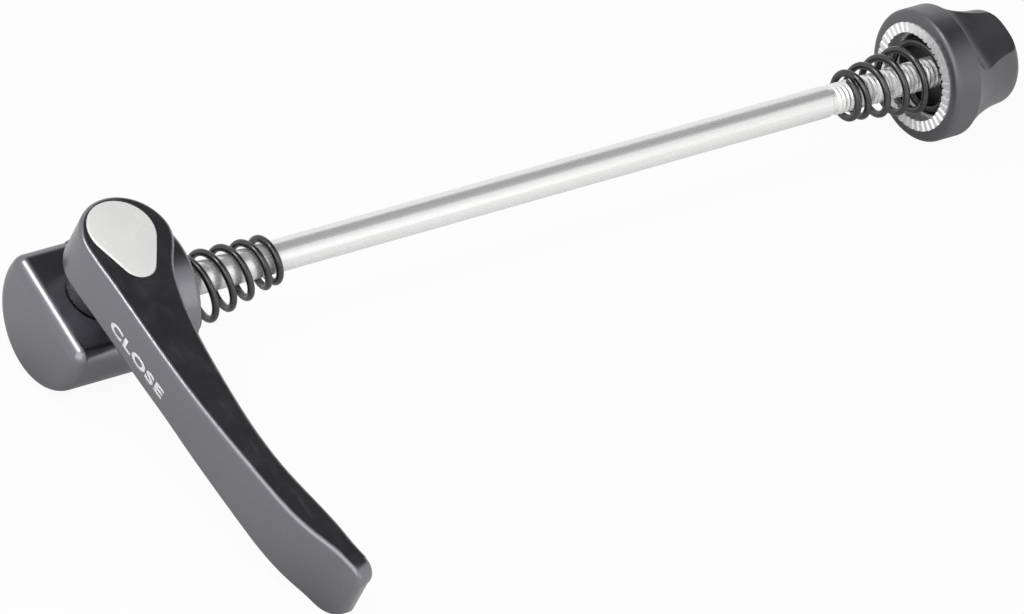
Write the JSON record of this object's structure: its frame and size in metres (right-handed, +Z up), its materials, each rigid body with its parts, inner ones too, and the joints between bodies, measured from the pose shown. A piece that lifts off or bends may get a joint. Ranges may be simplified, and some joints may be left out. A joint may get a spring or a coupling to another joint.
{
  "type": "quick release skewer",
  "caption": "Bicycle wheel quick release skewer: a cam lever in a round housing, a steel rod, conical springs and a screw-on clamp nut with a serrated face.",
  "frame": {"origin": "on the rod's axis, in the plane of the lever side's clamp face", "axes": "+X along the rod from the lever to the nut, +Z up as the skewer lies at rest, -Y the way the closed lever points"},
  "size_m": [0.1805, 0.0765, 0.0293],
  "materials": {
    "black_alloy": "satin anodised",
    "polished_steel": "polished",
    "bright_steel": "zinc plated",
    "spring_wire": "oiled",
    "seal_rubber": "matte",
    "bush_plastic": "moulded",
    "lock_nylon": "moulded"
  },
  "bodies": {
    "housing": {"cam_housing": "black_alloy", "housing_clamp_ring": "bright_steel", "cam_bush": "bush_plastic", "axle_washer": "bright_steel"},
    "lever": {"lever": "black_alloy", "cam_axle": "polished_steel", "axle_nut": "bright_steel", "hub_seal": "seal_rubber"},
    "rod": {"skewer_rod": "polished_steel"},
    "lever_spring": {"lever_spring": "spring_wire"},
    "nut_spring": {"nut_spring": "spring_wire"},
    "nut": {"nut_cover": "black_alloy", "nut_core": "bright_steel", "nut_lock_ring": "lock_nylon"}
  },
  "joints": [
    {"name": "lever_swing", "type": "hinge", "parent": "housing", "child": "lever", "pos_m": [-0.0129, 0, 0], "axis": [0, 0.2614, -0.9652], "range_deg": [0, 180]},
    {"name": "rod_draw", "type": "slide", "parent": "housing", "child": "rod", "axis": [1, 0, 0], "range_m": [0, 0.0022]},
    {"name": "lever_spring_slide", "type": "slide", "parent": "rod", "child": "lever_spring", "axis": [1, 0, 0], "range_m": [0, 0.09]},
    {"name": "nut_travel", "type": "slide", "parent": "rod", "child": "nut_spring", "axis": [-1, 0, 0], "range_m": [-0.00641, 0.01441]},
    {"name": "nut_turn", "type": "hinge", "parent": "nut_spring", "child": "nut", "pos_m": [0.142, 0, 0], "axis": [-1, 0, 0], "range_deg": [-2880, 6480]}
  ],
  "couplings": [
    {"joint": "rod_draw", "follows": "lever_swing", "m_per_rad": 0.00070028},
    {"joint": "nut_travel", "follows": "nut_turn", "m_per_rad": 0.00012732}
  ]
}
